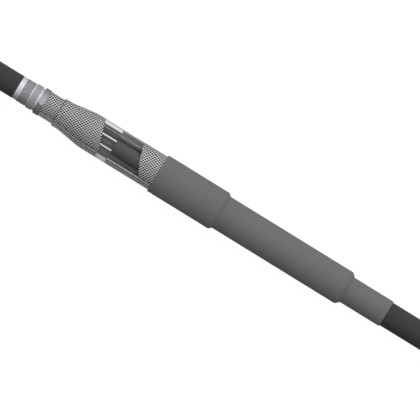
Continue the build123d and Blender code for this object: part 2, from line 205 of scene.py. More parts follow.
def hue(name, text, value):
    """Colour property whose default is an sRGB hex value."""
    return bpy.props.FloatVectorProperty(
        name=name,
        description=text,
        default=linear(value),
        subtype="COLOR",
        min=0,
        max=1,
        size=3,
    )


class MeshSizes(bpy.types.PropertyGroup):
    """Sizes of the woven mesh."""

    strand_pitch: length(
        "Strand pitch", "Distance between neighbouring strands of one direction", 3.0, 1.5, 10
    )
    strand_width: length("Strand width", "Width of one flattened strand", 1.0, 0.4, 4)
    strand_thickness: length("Strand thickness", "Thickness of one flattened strand", 0.3, 0.2, 1)
    weave_lift: length(
        "Weave lift", "How far a strand rises and dips as it crosses over and under", 0.12, 0, 0.6
    )
    spread: amount(
        "Spread", "How much wider than its mean a strand is where it crosses another", 0.25, 0.5
    )
    steep_angle: direction(
        "Steep strands", "Direction of the steep strands, measured from the joint's axis", 57.0
    )
    flat_angle: direction(
        "Flat strands", "Direction of the flat strands, measured from the joint's axis", -19.3
    )


class WireSizes(bpy.types.PropertyGroup):
    """Sizes of the wound and stranded wires."""

    binding_wire: length(
        "Binding wire", "Diameter of the wire that is wound round the bond sleeve", 0.5, 0.3, 1.5
    )
    window_wire: length(
        "Window wire", "Diameter of the straight wire that crosses the window", 1.1, 0.5, 2
    )
    strand_recess: length(
        "Cut-end relief", "How far the valleys between wires lie below the cut face", 0.4, 0.1, 2
    )


class FinishColours(bpy.types.PropertyGroup):
    """Base colours of the finishes."""

    outer_sleeve: hue("Outer sleeve", "Grey of the shrunk outer sleeve", "#676769")
    oversheath: hue("Oversheath", "Black of the extruded oversheath", "#343436")
    armour_tape: hue("Armour tape", "Zinc grey of the armour tape", "#a7a9ac")
    bedding: hue("Bedding", "Grey of the filled bedding", "#58595b")
    fillers: hue("Filler strings", "Pale fibres of the filler strings", "#c9c8c2")
    insulation: hue("Core insulation", "Grey of the cores", "#5c5c5e")
    # Painted light: the lower core lies in shade inside the joint, so its grey is painted lighter
    # than the other cores'
    lower_core_painted_lighter: hue("Lower core", "Lighter grey of the lower core", "#767678")
    conductor: hue("Conductor", "Bare metal of the conductors", "#c98a5e")
    inner_sleeve: hue("Inner sleeve", "Grey of the sleeves over the splices", "#444446")
    mastic: hue("Mastic", "Black of the sealing mastic", "#1d1d1e")
    connector: hue("Connector", "Tin on the connector bars", "#b9bbbe")
    bolts: hue("Bolts", "Brass of the shear bolts", "#b99a5b")
    spacer: hue("Core spacer", "White of the moulded spacers", "#c6c6c8")
    mesh: hue("Mesh", "Tin on the woven mesh", "#cdced0")
    # Painted light: the straight strands lie on the lower side and inside, so their tin is painted
    # brighter than the mesh's
    mesh_rows_painted_lighter: hue("Mesh rows", "Brighter tin on the straight strands", "#dedee0")
    window_wire: hue("Window wire", "Duller tin on the wire across the window", "#a8a9ab")
    bond_sleeve: hue("Bond sleeve", "Bright tin of the bond sleeve", "#d6d7da")
    binding_wire: hue("Binding wire", "Zinc grey of the binding wire", "#a8aaad")
    spring: hue("Roll spring", "Cold-rolled steel of the springs", "#a0a2a5")
    # Darker steel colour for the spring's inner turns, under the tongue
    spring_inner_darker: hue("Spring, inner turns", "Duller steel under the tongue", "#7f8184")


class StageSizes(bpy.types.PropertyGroup):
    """Camera, light and floor."""

    roll: direction("Roll", "How far the joint's axis falls to the right in the picture", 31.645)
    width: length(
        "Picture width", "Real width across the picture at the joint's axis", 571.2, 50, 5000
    )
    lens: bpy.props.FloatProperty(
        name="Lens",
        description="Focal length; long, because the picture shows no perspective",
        default=1400,
        unit="CAMERA",
    )
    aim: bpy.props.FloatVectorProperty(
        name="Aim",
        description="Point at the middle of the picture",
        default=(4.15 * MM, -5.45 * MM, 10 * MM),
        size=3,
        subtype="XYZ",
        unit="LENGTH",
    )
    light_level: amount("Light", "Mean brightness of the sky", 0.53, 2)
    light_slope: amount("Light slope", "How much brighter the sky is above than below", 0.62, 2)
    lamp_watts: bpy.props.FloatProperty(
        name="Soft lamp",
        description="Power of the large soft lamp",
        default=1.5,
        min=0,
        unit="POWER",
    )
    shadow_share: amount(
        "Shadow", "How much of the floor's brightness its shadow can take away", 0.12, 1
    )


# Surface of the mesh, unrolled: x along the joint, v round it, towards +Y from the front line


def mesh_radius(x):
    """Outer radius of the mesh at each x, with the cone's end eased into the body."""
    ease = (CONE_END - CONE_EASE, CONE_END + CONE_EASE)
    stations = (MESH_START, STEP_X, STEP_X + STEP_RUN, CONE_START, *ease)
    slope = (BODY_R - STEP_R) / (CONE_END - CONE_START)
    radii = (NECK_R, NECK_R, STEP_R, STEP_R, BODY_R - CONE_EASE * slope, BODY_R)
    r = np.interp(x, stations, radii)
    along = np.clip((x - CONE_END + CONE_EASE) / (2 * CONE_EASE), 0, 1)
    eased = BODY_R - CONE_EASE * slope * (1 - along) ** 2
    return np.where(along > 0, eased, r)


def border_x(points, y):
    """x of a window border at each y: the curve through its three points."""
    (x0, y0), (x1, y1), (x2, y2) = points
    y = y / MM
    curve = x0 * (y - y1) * (y - y2) / ((y0 - y1) * (y0 - y2))
    curve = curve + x1 * (y - y0) * (y - y2) / ((y1 - y0) * (y1 - y2))
    curve = curve + x2 * (y - y0) * (y - y1) / ((y2 - y0) * (y2 - y1))
    return curve * MM


def in_window(points):
    """True where a point of the mesh lies in the window or in its notch."""
    x, y, z = points.T
    window = (x > border_x(WINDOW_LEFT, y)) & (x < border_x(WINDOW_RIGHT, y))
    window &= y > WINDOW_LOW_Y
    notch = (x > NOTCH_START) & (x < NOTCH_END) & (y <= WINDOW_LOW_Y)
    return (z > 0) & (window | notch)


def closeness(degrees):
    """How closely the weave lies round the joint: 1 at the front line and at the back."""
    least = math.cos(math.radians(FLANK))
    front = np.cos(np.radians(np.minimum(np.abs(degrees), FLANK)))
    return front + (1 - least) * np.interp(np.abs(degrees), (FLANK_END, BACK), (0, 1))


# Distance round a joint of radius 1 at which the weave's pattern meets each angle
WEAVE_DEGREES = np.arange(-90, 271)
WEAVE_PLACES = np.cumsum(np.radians(closeness(WEAVE_DEGREES)))
WEAVE_PLACES -= WEAVE_PLACES[WEAVE_DEGREES == 0]


def weave_degrees(x, v):
    """Angle, from the front line, of each point of the weave's pattern."""
    return np.interp(v / mesh_radius(x), WEAVE_PLACES, WEAVE_DEGREES)


def points_at(x, y, z):
    """Points from their coordinates, each of which may be one value for all."""
    return np.stack(np.broadcast_arrays(x, y, z), axis=-1)


def points_round(x, turn, r):
    """Points at stations x, turned from the front line, at radius r from the axis."""
    return points_at(x, r * np.sin(turn), r * np.cos(turn))


def tube_faces(rings, sides):
    """Faces of a closed tube: quads between rings and one cap at each end."""
    faces = []
    for ring in range(rings - 1):
        a = ring * sides
        b = a + sides
        for i in range(sides):
            j = (i + 1) % sides
            faces.append((a + i, a + j, b + j, b + i))
    faces.append(tuple(range(sides - 1, -1, -1)))
    faces.append(tuple(range((rings - 1) * sides, rings * sides)))
    return faces


def tube(points, half_width, half_thickness, sides, outward=None):
    """Vertices and faces of an elliptical tube along points.

    half_width is one value, or one for each point. The short side points outward, which is
    away from the joint's axis unless it is given."""
    if outward is None:
        outward = points * [0, 1, 1]
    half_width = np.broadcast_to(half_width, len(points))[:, None, None]
    ahead = np.concatenate([points[1:], points[-1:]])
    behind = np.concatenate([points[:1], points[:-1]])
    tangent = ahead - behind
    tangent /= np.linalg.norm(tangent, axis=1)[:, None]
    across = np.cross(outward, tangent)
    across /= np.linalg.norm(across, axis=1)[:, None]
    lift = np.cross(tangent, across)
    angles = (np.arange(sides) + 0.5) * 2 * math.pi / sides
    ring = across[:, None, :] * half_width * np.cos(angles)[None, :, None]
    ring = ring + lift[:, None, :] * (half_thickness * np.sin(angles))[None, :, None]
    verts = (points[:, None, :] + ring).reshape(-1, 3)
    return verts, tube_faces(len(points), sides)


class Builder:
    """Collects the tubes and rings of one piece and makes one mesh of them."""

    def __init__(self):
        self.verts = []
        self.faces = []
        self.count = 0

    def add(self, verts, faces):
        """Adds vertices, and faces that count them from 0."""
        self.verts.append(np.asarray(verts, float))
        self.faces.extend(tuple(i + self.count for i in face) for face in faces)
        self.count += len(verts)

    def piece(self, name, material, slot, node):
        """Object of all that was added, which rides on the joint in place of a CAD node."""
        mesh = bpy.data.meshes.new(name)
        mesh.from_pydata(np.concatenate(self.verts).tolist(), [], self.faces)
        mesh.validate()
        mesh.shade_smooth()
        mesh.set_sharp_from_angle(angle=SHARP_ANGLE)
        mesh.materials.append(material)
        piece = bpy.data.objects.new(name, mesh)
        bpy.context.scene.collection.objects.link(piece)
        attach(piece, BODY)
        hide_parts(node)
        return piece


def runs(mask):
    """Start and end of each stretch of three or more points in which mask holds."""
    edges = np.flatnonzero(np.diff(mask, prepend=False, append=False))
    return [(a, b) for a, b in edges.reshape(-1, 2) if b - a > 2]


# Materials


def add_node(tree, kind, sockets=None, links=None, **settings):
    """Adds one node, with its settings, its socket values and the links into it."""
    node = tree.nodes.new(kind)
    for name, value in settings.items():
        setattr(node, name, value)
    for name, value in (sockets or {}).items():
        node.inputs[name].default_value = value
    for name, source in (links or {}).items():
        tree.links.new(source, node.inputs[name])
    return node


def bare_tree(owner):
    """Node tree of a material or a world, without the nodes that it starts with."""
    owner.use_nodes = True
    owner.node_tree.nodes.clear()
    return owner.node_tree


def per_mm(size):
    """Texture scale that makes one cell of a pattern size millimetres wide."""
    return 1 / (size * MM)


class Finish:
    """One principled material, with its node tree, its shader and its object coordinates."""

    def __init__(self, name, colour, roughness, metallic=0.0, sockets=None):
        self.material = bpy.data.materials.new(name)
        self.colour = colour
        self.tree = bare_tree(self.material)
        values = {"Base Color": (*colour, 1), "Roughness": roughness, "Metallic": metallic}
        values.update(sockets or {})
        self.shader = add_node(self.tree, "ShaderNodeBsdfPrincipled", values)
        surface = self.shader.outputs[0]
        add_node(self.tree, "ShaderNodeOutputMaterial", links={"Surface": surface})
        self.place = add_node(self.tree, "ShaderNodeTexCoord").outputs["Object"]

    def grain(self, size, detail=2.0, drawn=None):
        """Noise whose grains are size millimetres wide.

        drawn is a scale for each axis; below 1, it draws the grains out along that axis."""
        at = {"Vector": self.place}
        if drawn is not None:
            stretched = add_node(self.tree, "ShaderNodeMapping", {"Scale": drawn}, at)
            at = {"Vector": stretched.outputs["Vector"]}
        noise = {"Scale": per_mm(size), "Detail": detail}
        return add_node(self.tree, "ShaderNodeTexNoise", noise, at).outputs[0]

    def patterned(self, tone, spread, relief=None, depth=0.0):
        """Material whose colour varies by one 0 to 1 pattern, with another as its relief.

        spread is the share by which the colour gets darker and lighter; depth is in
        millimetres."""
        dark = (*(c * (1 - spread) for c in self.colour), 1)
        light = (*(min(1, c * (1 + spread)) for c in self.colour), 1)
        tones = {"A": dark, "B": light}
        mix = add_node(self.tree, "ShaderNodeMix", tones, {"Factor": tone}, data_type="RGBA")
        self.tree.links.new(mix.outputs["Result"], self.shader.inputs["Base Color"])
        if relief is not None:
            reach = {"Distance": depth * MM}
            bump = add_node(self.tree, "ShaderNodeBump", reach, {"Height": relief})
            self.tree.links.new(bump.outputs["Normal"], self.shader.inputs["Normal"])
        return self.material


# Scale that draws grains out into lines round the joint
ROUND = (1, 0.08, 0.08)


def unrolled(tree, place):
    """Object coordinates unrolled from round the joint: x, then the distance round it."""
    split = add_node(tree, "ShaderNodeSeparateXYZ", links={0: place}).outputs
    across = add_node(tree, "ShaderNodeMapping", {"Scale": (0, 1, 1)}, {"Vector": place})
    offset = {0: across.outputs["Vector"]}
    r = add_node(tree, "ShaderNodeVectorMath", links=offset, operation="LENGTH")
    sides = {0: split["Y"], 1: split["Z"]}
    turn = add_node(tree, "ShaderNodeMath", links=sides, operation="ARCTAN2")
    factors = {0: turn.outputs[0], 1: r.outputs["Value"]}
    v = add_node(tree, "ShaderNodeMath", links=factors, operation="MULTIPLY")
    flat = add_node(tree, "ShaderNodeCombineXYZ", links={0: split["X"], 1: v.outputs[0]})
    return flat.outputs[0]


def stripes(tree, flat, angle, pitch):
    """0 to 1 stripes on the unrolled surface, at an angle to the joint's axis."""
    wave = 2 * math.pi / pitch
    way = (-math.sin(angle) * wave, math.cos(angle) * wave, 0)
    phase = add_node(tree, "ShaderNodeVectorMath", {1: way}, {0: flat}, operation="DOT_PRODUCT")
    height = phase.outputs["Value"]
    ridge = add_node(tree, "ShaderNodeMath", links={0: height}, operation="COSINE")
    shifted = add_node(
        tree, "ShaderNodeMath", {1: 0.5, 2: 0.5}, {0: ridge.outputs[0]}, operation="MULTIPLY_ADD"
    )
    return shifted.outputs[0]


def shrunk_polyolefin(colour):
    """Cross-linked polyolefin tube, extruded and heat-shrunk.

    Matt and even; the eye catches only a faint orange peel and a slow drift in tone."""
    finish = Finish("shrunk_polyolefin", colour, 0.6)
    drift = finish.grain(22)
    peel = finish.grain(1.4, 3)
    return finish.patterned(drift, 0.03, peel, 0.03)


def extruded_pvc(colour):
    """Soft PVC sheath, drawn through a die.

    Satin black with faint lines from the die along the cable, wide enough to show."""
    dim = {"Specular IOR Level": 0.3}
    finish = Finish("extruded_pvc", colour, 0.6, sockets=dim)
    along = (0.03, 1, 1)
    lines = finish.grain(1.6, drawn=along)
    fine_lines = finish.grain(0.8, drawn=along)
    return finish.patterned(lines, 0.06, fine_lines, 0.03)


def crosslinked_insulation(name, colour):
    """Cross-linked polyethylene or polyolefin over a core, extruded smooth.

    Semi-matt dark grey with a low sheen along its length."""
    finish = Finish(name, colour, 0.5)
    lines = finish.grain(2.5, drawn=(0.05, 1, 1))
    skin = finish.grain(0.9)
    return finish.patterned(lines, 0.05, skin, 0.015)


def moulded_nylon(colour):
    """Glass-filled nylon, injection-moulded.

    Clean white with an eroded grain, drawn coarse enough to show. A faint even glow is
    painted light, which lifts its shaded sides so that they stay pale."""
    # Painted light: a faint even glow over all of the nylon
    glow = {"Emission Color": (1, 1, 1, 1), "Emission Strength": 0.18}
    finish = Finish("moulded_nylon", colour, 0.42, sockets=glow)
    cloud = finish.grain(9)
    eroded = finish.grain(0.5)
    return finish.patterned(cloud, 0.02, eroded, 0.015)


def tinned_mesh_wire(name, colour, glow=0.0):
    """Tinned copper wire, flattened into strands by the loom.

    Soft grey metal; the tin dulls where strands rub, so their brightness varies a little.
    The turn under the strands is modelled closed. Inside it, a faint glow is painted light,
    which stands for the daylight that would come through the open weave."""
    # Painted light: the glow, which is set only for the strands inside the mesh
    daylight = {"Emission Color": (1, 1, 1, 1), "Emission Strength": glow}
    finish = Finish(name, colour, 0.55, 0.8, daylight)
    rubbed = finish.grain(6, 3)
    wires = finish.grain(0.35)
    return finish.patterned(rubbed, 0.1, wires, 0.02)


# Strength of the painted light: a glow that stands for daylight through the weave
INSIDE_PAINTED_GLOW = 0.15


def weave_bands(finish, sizes):
    """0 to 1 pattern of the two strand directions, on the unrolled surface of the mesh."""
    tree = finish.tree
    flat = unrolled(tree, finish.place)
    steep_rows = stripes(tree, flat, sizes.steep_angle, sizes.strand_pitch)
    flat_rows = stripes(tree, flat, sizes.flat_angle, sizes.strand_pitch)
    both = {0: steep_rows, 1: flat_rows}
    return add_node(tree, "ShaderNodeMath", links=both, operation="MAXIMUM").outputs[0]


def tinned_mesh_under(colour, sizes):
    """Second turn of the tinned mesh, seen between the strands of the first.

    The same metal with painted shade: its colour is cut to 4 percent for the shade of the
    outer turn, so it reads as dark dots and rows."""
    # Painted shade of the outer turn: the metal's colour cut to 4 percent
    shade = tuple(c * 0.04 for c in colour)
    finish = Finish("tinned_mesh_under", shade, 0.7, 0.4)
    bands = weave_bands(finish, sizes)
    return finish.patterned(bands, 0.6, bands, 0.4)


def tinned_mesh_inside(colour, sizes):
    """Inner face of the tinned mesh, seen through the window.

    Grey metal with the rows of its strands pressed flat against the pieces inside. Its colour
    is painted darker for shade, and a faint glow on it, as on the strands there, is painted light."""
    # Painted shade: a darker copy of the metal's colour
    pressed = tuple(0.7 * c for c in colour)
    # Painted light: a faint glow
    daylight = {"Emission Color": (1, 1, 1, 1), "Emission Strength": INSIDE_PAINTED_GLOW / 3}
    finish = Finish("tinned_mesh_inside", pressed, 0.6, 0.3, daylight)
    bands = weave_bands(finish, sizes)
    return finish.patterned(bands, 0.4, bands, 0.4)


def tinned_sheet(colour):
    """Copper sheet, tinned and rolled round the armour.

    Bright silver with a soft sheen and faint marks from rolling along its length, drawn
    coarse enough to show."""
    finish = Finish("tinned_sheet", colour, 0.45, 1.0)
    along = (0.15, 1, 1)
    marks = finish.grain(2.2, drawn=along)
    fine_marks = finish.grain(1.2, drawn=along)
    return finish.patterned(marks, 0.04, fine_marks, 0.015)


def galvanised_wire(colour):
    """Galvanised steel binding wire, wound tight, turn against turn.

    Dull grey, with wavy bright lines across the turns: painted highlights, which stand for
    the light caught by the single turns."""
    finish = Finish("galvanised_wire", colour, 0.5, 1.0)
    streak_pitch = 2.8 * MM
    streak_angle = math.radians(32)
    sway = 2.8 * MM
    tree = finish.tree
    bent = add_node(
        tree,
        "ShaderNodeVectorMath",
        {1: (0, sway, 0)},
        {0: finish.grain(3.5), 2: unrolled(tree, finish.place)},
        operation="MULTIPLY_ADD",
    )
    # Painted highlights: wavy bright lines across the turns
    painted_glints = stripes(tree, bent.outputs[0], streak_angle, streak_pitch)
    both = {"A": painted_glints, "B": finish.grain(3)}
    uneven = add_node(tree, "ShaderNodeMix", {"Factor": 0.45}, both)
    return finish.patterned(uneven.outputs[0], 0.45)


def rolled_spring_steel(name, colour):
    """Stainless spring strip, cold-rolled.

    Even grey metal with fine lines round the ring, which stretch its highlights; they are
    drawn coarser than real ones, to show."""
    finish = Finish(name, colour, 0.55, 0.6)
    lines = finish.grain(0.6, drawn=ROUND)
    fine_lines = finish.grain(0.4, drawn=ROUND)
    return finish.patterned(lines, 0.06, fine_lines, 0.012)


def tongue_painted_highlight(colour):
    """Outer turn of the spring over the mesh, with a painted highlight towards its free end.

    Painted light: darker over the top of the joint, it grows bright down to its rounded tip."""
    finish = Finish("tongue_painted_highlight", colour, 0.55, 0.6)
    darkest_y = 16.5 * MM
    brightest_y = -2.0 * MM
    # Painted highlight: the colour grows lighter from the top of the joint down to the tip
    split = add_node(finish.tree, "ShaderNodeSeparateXYZ", links={0: finish.place})
    ends = {"From Min": darkest_y, "From Max": brightest_y}
    highlight_ramp = add_node(finish.tree, "ShaderNodeMapRange", ends, {"Value": split.outputs["Y"]})
    fine_lines = finish.grain(0.4, drawn=ROUND)
    return finish.patterned(highlight_ramp.outputs["Result"], 0.36, fine_lines, 0.012)


def galvanised_tape(colour):
    """Galvanised steel armour tape, slit and lapped round the bedding.

    Zinc grey with a mottled spangle."""
    finish = Finish("galvanised_tape", colour, 0.45, 1.0)
    size = {"Scale": per_mm(3)}
    spangle = add_node(finish.tree, "ShaderNodeTexVoronoi", size, {"Vector": finish.place})
    return finish.patterned(spangle.outputs["Distance"], 0.15)


def drawn_conductor(colour):
    """Plain copper wire, drawn and compacted.

    Warm bright metal, cut square, with saw lines on its cut face, coarse enough to show."""
    finish = Finish("drawn_conductor", colour, 0.38, 1.0)
    sawn = (1, 1, 0.06)
    lines = finish.grain(0.5, drawn=sawn)
    fine_lines = finish.grain(0.4, drawn=sawn)
    return finish.patterned(lines, 0.12, fine_lines, 0.02)


def machined_metal(name, colour):
    """Bar metal, turned on a lathe: plain brass, or tinned for the connectors.

    Clean metal with turning lines, drawn coarser than real ones, to show."""
    finish = Finish(name, colour, 0.34, 1.0)
    cloud = finish.grain(4)
    lines = finish.grain(0.4, drawn=(1, 0.1, 0.1))
    return finish.patterned(cloud, 0.05, lines, 0.015)


def fibrillated_string(colour):
    """Polypropylene filler string, split film twisted to a soft cord.

    Pale fibres that lie along the cable and break up the cut face."""
    finish = Finish("fibrillated_string", colour, 0.8)
    fibres = finish.grain(0.5, 4, (0.04, 1, 1))
    return finish.patterned(fibres, 0.3, fibres, 0.15)


def chalky_bedding(colour):
    """Filled polymer bedding, extruded over the cores.

    Matt mid grey, powdery where it is cut."""
    finish = Finish("chalky_bedding", colour, 0.75)
    powder = finish.grain(1.2, 4)
    cut = finish.grain(0.6)
    return finish.patterned(powder, 0.1, cut, 0.04)


def butyl_mastic(colour):
    """Butyl sealing mastic, pressed in by hand.

    Black and slightly shiny, with a soft uneven face."""
    finish = Finish("butyl_mastic", colour, 0.35)
    cloud = finish.grain(5)
    dents = finish.grain(3)
    return finish.patterned(cloud, 0.1, dents, 0.2)


# Pieces


def finish_nodes(material, *names):
    """Gives CAD nodes that keep their shape their finish."""
    for name in names:
        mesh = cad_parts[name].data
        mesh.materials.clear()
        mesh.materials.append(material)


class JointOperator(bpy.types.Operator):
    """Common base of the joint's operators."""

    bl_options = {"REGISTER", "UNDO"}


class JOINT_OT_cable_layers(JointOperator):
    """Finish the oversheath, armour tape, bedding and filler strings of both cables"""

    bl_idname = "joint.cable_layers"
    bl_label = "Cable layers"

    def execute(self, context):
        colours = context.scene.finish_colours
        layers = (
            ("oversheath", extruded_pvc(colours.oversheath)),
            ("armour_tape", galvanised_tape(colours.armour_tape)),
            ("bedding", chalky_bedding(colours.bedding)),
            ("fillers", fibrillated_string(colours.fillers)),
        )
        for layer, material in layers:
            finish_nodes(material, f"left_{layer}", f"right_{layer}")
        return {"FINISHED"}


class JOINT_OT_cores(JointOperator):
    """Finish the insulation of the cores and give each conductor its stranded cut end"""

    bl_idname = "joint.cores"
    bl_label = "Cores"

    def execute(self, context):
        colours = context.scene.finish_colours
        recess = context.scene.wire_sizes.strand_recess
        dark = crosslinked_insulation("core_insulation", colours.insulation)
        # Painted light: the lower core's insulation is a lighter copy against its shade
        light = crosslinked_insulation("lower_core_insulation_painted_lighter", colours.lower_core_painted_lighter)
        metal = drawn_conductor(colours.conductor)
        for side, end in (("left", cad_box[0].x), ("right", cad_box[1].x)):
            for core in CORES:
                cover = light if core == "lower" else dark
                finish_nodes(cover, f"{side}_insulation_{core}")
                strand_conductor(f"{side}_conductor_{core}", end, recess, metal)
        return {"FINISHED"}


def strand_conductor(node, end, recess, material):
    """Conductor whose cut end shows 19 wires; the rest keeps the CAD node's form."""
    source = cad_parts[node].data
    verts = np.array([v.co for v in source.vertices])
    inward = 1 if end < 0 else -1
    touching = 0.01 * MM
    at_end = np.abs(verts[:, 0] - end) < touching
    centre = verts[at_end].mean(axis=0)
    radius = np.linalg.norm(verts[at_end] - centre, axis=1).max()
    verts[at_end, 0] += inward * recess
    made = Builder()
    made.add(verts, [tuple(p.vertices) for p in source.polygons])
    wire = radius / WIRES_ACROSS
    places = [(0, 0)]
    for ring, count in WIRE_RINGS:
        reach = ring * 2 * wire
        for i in range(count):
            turn = 2 * math.pi * (i + 0.5 * (ring % 2)) / count
            places.append((reach * math.cos(turn), reach * math.sin(turn)))
    for y, z in places:
        made.add(*wire_end(centre[1] + y, centre[2] + z, wire, end, inward, recess))
    made.piece(f"{node}_wires", material, "conductor", node)


def wire_end(y, z, radius, end, inward, recess):
    """Short end of one wire, with a bevelled rim, that reaches the cut face."""
    rim = 0.12 * MM
    root = recess + 1.0 * MM
    profile = ((end + inward * root, radius), (end + inward * rim, radius), (end, radius - rim))
    turns = [2 * math.pi * i / WIRE_SIDES for i in range(WIRE_SIDES)]
    verts = [
        (x, y + r * math.cos(turn), z + r * math.sin(turn)) for x, r in profile for turn in turns
    ]
    return verts, tube_faces(len(profile), WIRE_SIDES)


class JOINT_OT_armour_wraps(JointOperator):
    """Finish the bond sleeve and the springs, and wind the binding wire"""

    bl_idname = "joint.armour_wraps"
    bl_label = "Wraps on the armour"

    def execute(self, context):
        colours = context.scene.finish_colours
        finish_nodes(tinned_sheet(colours.bond_sleeve), "bond_sleeve")
        bright = rolled_spring_steel("rolled_spring_steel", colours.spring)
        darker_steel = rolled_spring_steel("rolled_spring_steel_darker", colours.spring_inner_darker)
        # Lighter copy of the spring's colour, for the tongue's painted highlight
        lighter_tongue = tuple(1.03 * c for c in colours.spring)
        finish_nodes(bright, "armour_spring", "right_mesh_spring")
        finish_nodes(tongue_painted_highlight(lighter_tongue), "mesh_spring")
        darken_inner_turns("mesh_spring", darker_steel)
        zinc = galvanised_wire(colours.binding_wire)
        wind_binding(context.scene.wire_sizes.binding_wire, zinc)
        return {"FINISHED"}


def darken_inner_turns(node, material):
    """Gives the turns under a spring's outer one the darker colour."""
    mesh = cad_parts[node].data
    mesh.materials.append(material)
    outer = max(math.hypot(v.co.y, v.co.z) for v in mesh.vertices)
    lower_turns = outer - 0.2 * MM
    for face in mesh.polygons:
        face.material_index = int(math.hypot(face.center.y, face.center.z) < lower_turns)


def wind_binding(wire, material):
    """Wire wound round the bond sleeve, turn against turn."""
    start, stop = reach_x("armour_binding")
    outside = half_height("armour_binding")
    turns = int((stop - start) / wire) - 1
    stations = 72
    turn = np.arange(turns * stations + 1) * 2 * math.pi / stations
    x = start + wire / 2 + (stop - start - wire) * turn / turn[-1]
    points = points_round(x, turn, outside - wire / 2)
    made = Builder()
    made.add(*tube(points, wire / 2, wire / 2, STRAND_SIDES))
    made.piece("binding_wire", material, "binding_wire", "armour_binding")


class JOINT_OT_copper_mesh(JointOperator):
    """Weave the tinned mesh: two directions of strands, the turn under them and the lap"""

    bl_idname = "joint.copper_mesh"
    bl_label = "Copper mesh"

    def execute(self, context):
        sizes = context.scene.mesh_sizes
        colours = context.scene.finish_colours
        wire = tinned_mesh_wire("tinned_mesh_wire", colours.mesh)
        # The lap's straight strands get the tin that is painted brighter
        row_wire = tinned_mesh_wire("tinned_mesh_row_wire", colours.mesh_rows_painted_lighter)
        # The inner strands and hoops glow: painted light inside the closed turn
        inner_wire = tinned_mesh_wire("tinned_mesh_inner_wire_painted_glow", colours.mesh_rows_painted_lighter, INSIDE_PAINTED_GLOW)
        inner_hoop_wire = tinned_mesh_wire("tinned_mesh_inner_hoops_painted_glow", colours.mesh, INSIDE_PAINTED_GLOW / 3)
        dull_wire = tinned_mesh_wire("tinned_mesh_dull_wire", colours.window_wire)
        lap_rows, lap_hoops = lap_band()
        inner_rows, inner_hoops = inner_face()
        crossing = window_wire(context.scene.wire_sizes.window_wire)
        pieces = (
            ("mesh_steep_strands", weave(sizes, sizes.steep_angle, sizes.flat_angle, 1), wire),
            ("mesh_flat_strands", weave(sizes, sizes.flat_angle, sizes.steep_angle, -1), wire),
            ("mesh_lap_strands", lap_rows, row_wire),
            ("mesh_lap_hoops", lap_hoops, wire),
            ("mesh_inner_strands", inner_rows, inner_wire),
            ("mesh_inner_hoops", inner_hoops, inner_hoop_wire),
            ("mesh_cut_edges", cut_edges(), wire),
            ("mesh_window_wire", crossing, dull_wire),
        )
        for name, made, material in pieces:
            made.piece(name, material, "copper_mesh", "copper_mesh")
        shaded = tinned_mesh_under(colours.mesh, sizes)
        under = under_turn().piece("mesh_under_turn", shaded, "copper_mesh", "copper_mesh")
        line_inside(under, tinned_mesh_inside(colours.mesh, sizes))
        return {"FINISHED"}


def line_inside(piece, material):
    """Gives the faces that look towards the joint's axis another finish."""
    piece.data.materials.append(material)
    for face in piece.data.polygons:
        middle = face.center
        inward = middle.y * face.normal.y + middle.z * face.normal.z < 0
        face.material_index = int(inward)


def add_shown(made, points, half_width, half_thickness, wanted=True):
    """Adds the stretches of a strand that are wanted and lie outside the window."""
    half_width = np.broadcast_to(half_width, len(points))
    for a, b in runs(wanted & ~in_window(points)):
        made.add(*tube(points[a:b], half_width[a:b], half_thickness, STRAND_SIDES))


def weave(sizes, angle, other_angle, side):
    """Strands of one direction, over and under those of the other direction."""
    pitch = sizes.strand_pitch
    along = np.array([math.cos(angle), math.sin(angle)])
    across = np.array([-along[1], along[0]])
    other = np.array([-math.sin(other_angle), math.cos(other_angle)])
    crossing = pitch / abs(float(along @ other))
    step = crossing / CROSSING_STATIONS
    limits = BODY_R * np.interp((-LAP_START, 360 - LAP_END), WEAVE_DEGREES, WEAVE_PLACES)
    middle = np.array([(MESH_START + WEAVE_END) / 2, 0])
    corners = np.array([[x, v] for x in (MESH_START, WEAVE_END) for v in limits]) - middle
    lines = corners @ across / pitch
    stations = corners @ along / step
    s = np.arange(math.floor(stations.min()), math.ceil(stations.max()) + 1) * step
    made = Builder()
    for k in range(math.floor(lines.min()), math.ceil(lines.max()) + 1):
        flat = k * pitch * across + s[:, None] * along + middle
        x, v = flat.T
        degrees = weave_degrees(x, v)
        phase = math.pi * ((flat - middle) @ other / pitch + k)
        rise = WEAVE_RISE + side * sizes.weave_lift * np.cos(phase)
        points = points_round(x, np.radians(degrees), mesh_radius(x) + rise)
        half_width = sizes.strand_width / 2 * closeness(degrees) ** -abs(along[0])
        half_width *= 1 + sizes.spread * np.cos(2 * phase)
        wanted = (x > MESH_START) & (x < WEAVE_END)
        wanted &= (degrees > LAP_SHADOW_GROOVE - LAP_START) & (degrees < 360 - LAP_END)
        add_shown(made, points, half_width, sizes.strand_thickness / 2, wanted)
    return made


def add_rows(made, x, angles, rise, half_width):
    """Straight strands along the joint, one at each angle."""
    for turn in np.radians(-angles):
        points = points_round(x, turn, mesh_radius(x) + rise)
        add_shown(made, points, half_width, ROW_HALF_THICKNESS)


def add_hoops(made, x, first, last, rise):
    """Strands that go round the joint, from the first angle to the last."""
    turn = np.radians(np.linspace(-first, -last, int(abs(last - first) / HOOP_STEP) + 2))
    for station in np.arange(x[0] + HOOP_PITCH / 2, x[-1], HOOP_PITCH):
        points = points_round(station, turn, mesh_radius(station) + rise)
        add_shown(made, points, HOOP_HALF_WIDTH, HOOP_HALF_THICKNESS)


def lap_band():
    """Lap of the mesh: strands along the joint, and under them strands that go round it."""
    rows = Builder()
    hoops = Builder()
    step = 0.6 * MM
    x = np.arange(MESH_START, WEAVE_END, step)
    angles = np.arange(LAP_START + FIRST_ROW, LAP_END, ROW_GAP)
    add_rows(rows, x, angles, ROW_RISE, ROW_HALF_WIDTH)
    add_hoops(hoops, x, LAP_START - LAP_SHADOW_GROOVE, LAP_END, 0)
    return rows, hoops


